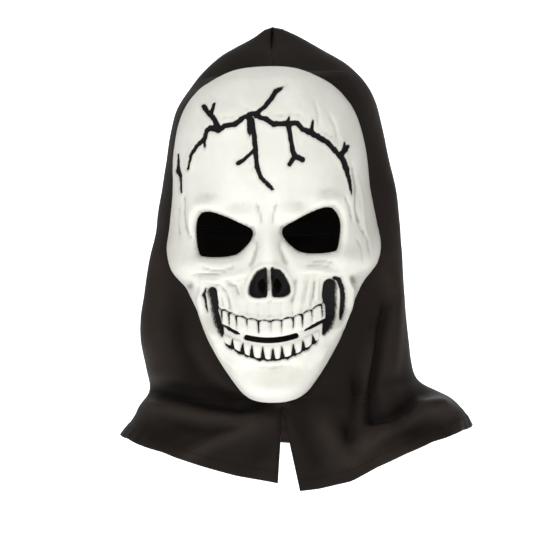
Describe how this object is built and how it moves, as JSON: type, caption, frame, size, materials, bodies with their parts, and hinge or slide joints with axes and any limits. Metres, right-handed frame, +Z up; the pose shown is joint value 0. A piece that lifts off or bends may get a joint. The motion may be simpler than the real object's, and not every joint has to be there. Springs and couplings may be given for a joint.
{
  "type": "hooded skull face mask",
  "caption": "Moulded skull face mask with open eyes and a mouth slit, and a dark cloth hood fixed inside its rim that closes under the chin and drapes over the shoulders.",
  "frame": {"origin": "middle of the wearer's head at eye height, which is the mask's head seat", "axes": "+Z up, the mask faces -Y, +X is the wearer's left"},
  "size_m": [0.2858, 0.2272, 0.3701],
  "materials": {
    "shell": "satin, soft black washed into the recesses",
    "hood_cloth": "thin brown-black cloth with a slight sheen",
    "seam_cloth": "same cloth, turned in",
    "thread": "close dark stitches",
    "label": "blank woven label",
    "elastic": "ribbed black elastic",
    "stud": "moulded, off-white",
    "stud_cap": "moulded, black"
  },
  "bodies": {
    "mask": {"skull_shell": "shell", "hood_left_panel": "hood_cloth", "hood_right_panel": "hood_cloth", "crown_seam_allowance": "seam_cloth", "chin_tack": "thread", "care_label": "label", "strap_stud_left": "stud", "strap_stud_right": "stud", "stud_cap_left": "stud_cap", "stud_cap_right": "stud_cap"},
    "left_corner": {"hood_left_front_corner": "hood_cloth"},
    "right_corner": {"hood_right_front_corner": "hood_cloth"},
    "strap": {"elastic_strap": "elastic"}
  },
  "joints": [
    {"name": "left_corner_fold", "type": "hinge", "parent": "mask", "child": "left_corner", "pos_m": [0.0335, -0.087, -0.1705], "axis": [-0.9245, 0, 0.3812], "range_deg": [0, 110]},
    {"name": "right_corner_fold", "type": "hinge", "parent": "mask", "child": "right_corner", "pos_m": [-0.0185, -0.087, -0.1705], "axis": [-0.9086, 0, -0.4177], "range_deg": [0, 110]},
    {"name": "strap_swing", "type": "hinge", "parent": "mask", "child": "strap", "pos_m": [0, -0.038, 0.006], "axis": [1, 0, 0], "range_deg": [-25, 35]}
  ]
}
